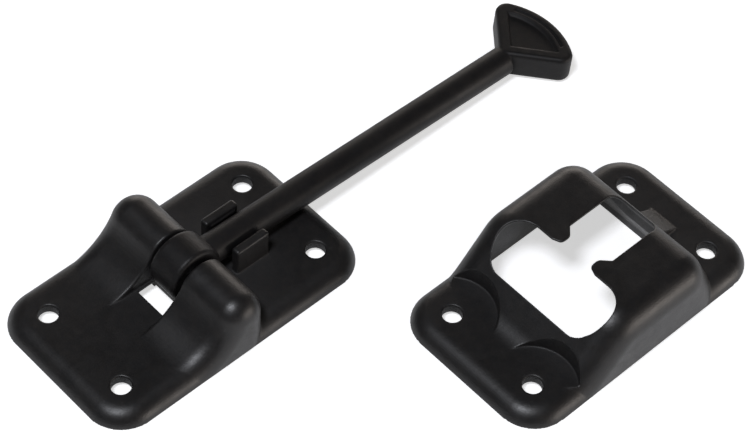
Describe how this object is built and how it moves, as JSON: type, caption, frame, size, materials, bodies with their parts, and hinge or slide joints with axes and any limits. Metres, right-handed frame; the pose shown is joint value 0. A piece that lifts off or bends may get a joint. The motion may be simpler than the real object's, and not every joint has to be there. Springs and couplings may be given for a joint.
{
  "type": "gravity gate latch",
  "caption": "Moulded plastic door or gate holder: a hinge plate with a swinging rod arm and fan-shaped head, and a separate catch plate with a keyhole pocket that traps the head.",
  "frame": {"origin": "centre of the hinge plate's back face, on the mounting surface", "axes": "+Z out of the mounting surface, +X from the hinge plate along the arm to its head, +Y across the plate to complete a right-handed frame; the catch plate lies on the same surface on the -Y side"},
  "size_m": [0.189, 0.1261, 0.0209],
  "materials": {
    "black_plastic": "satin moulded",
    "pin_steel": "plain drawn steel"
  },
  "bodies": {
    "plates": {"hinge_plate": "black_plastic", "hinge_pin": "pin_steel", "catch_plate": "black_plastic"},
    "arm": {"swing_arm": "black_plastic"}
  },
  "joints": [
    {"name": "arm_swing", "type": "hinge", "parent": "plates", "child": "arm", "pos_m": [0.0005, 0, 0.0111], "axis": [0, -1, 0], "range_deg": [0, 185]}
  ]
}
